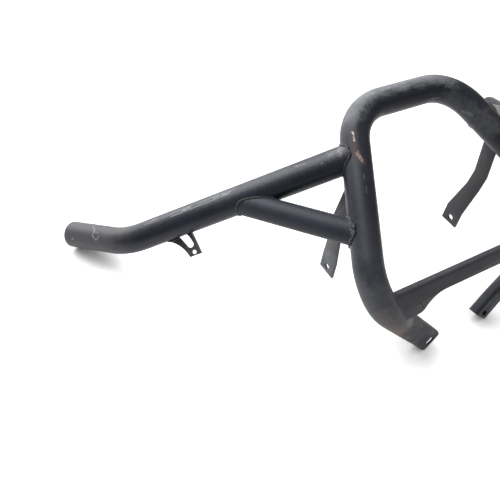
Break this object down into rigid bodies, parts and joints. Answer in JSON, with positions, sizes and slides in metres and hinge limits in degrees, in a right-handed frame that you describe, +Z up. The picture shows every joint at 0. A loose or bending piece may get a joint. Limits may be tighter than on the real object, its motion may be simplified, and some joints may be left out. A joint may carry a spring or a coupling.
{
  "type": "utv front bumper",
  "caption": "Welded tube front bumper with a bent hoop, swept-back wing tubes with braces, a folded cross plate, stamped tabs and flat-bar mounting straps.",
  "frame": {"origin": "on the floor under the middle of the overall box, as the bumper rests on its toes and its wing ends", "axes": "+Z up, +X across to the right as seen from in front, +Y to the rear of the vehicle; the hoop lies leaned back on the floor"},
  "size_m": [1.0592, 0.4646, 0.3094],
  "materials": {
    "painted_tube": "worn satin charcoal paint",
    "painted_sheet": "worn satin charcoal paint on sheet",
    "worn_flat_bar": "greyed paint rubbed thin on flat bar",
    "painted_weld": "painted weld bead"
  },
  "bodies": {
    "root": {"main_hoop": "painted_tube", "cross_plate": "painted_sheet", "right_wing_tube": "painted_tube", "right_brace_tube": "painted_tube", "right_wing_tab": "painted_sheet", "right_mount_strap": "worn_flat_bar", "right_wing_to_hoop_weld": "painted_weld", "right_brace_to_hoop_weld": "painted_weld", "right_brace_to_wing_weld": "painted_weld", "right_strap_to_hoop_weld": "painted_weld", "right_plate_to_hoop_weld": "painted_weld", "right_tab_to_wing_weld": "painted_weld", "left_wing_tube": "painted_tube", "left_brace_tube": "painted_tube", "left_wing_tab": "painted_sheet", "left_mount_strap": "worn_flat_bar", "left_wing_to_hoop_weld": "painted_weld", "left_brace_to_hoop_weld": "painted_weld", "left_brace_to_wing_weld": "painted_weld", "left_strap_to_hoop_weld": "painted_weld", "left_plate_to_hoop_weld": "painted_weld", "left_tab_to_wing_weld": "painted_weld"}
  },
  "joints": []
}
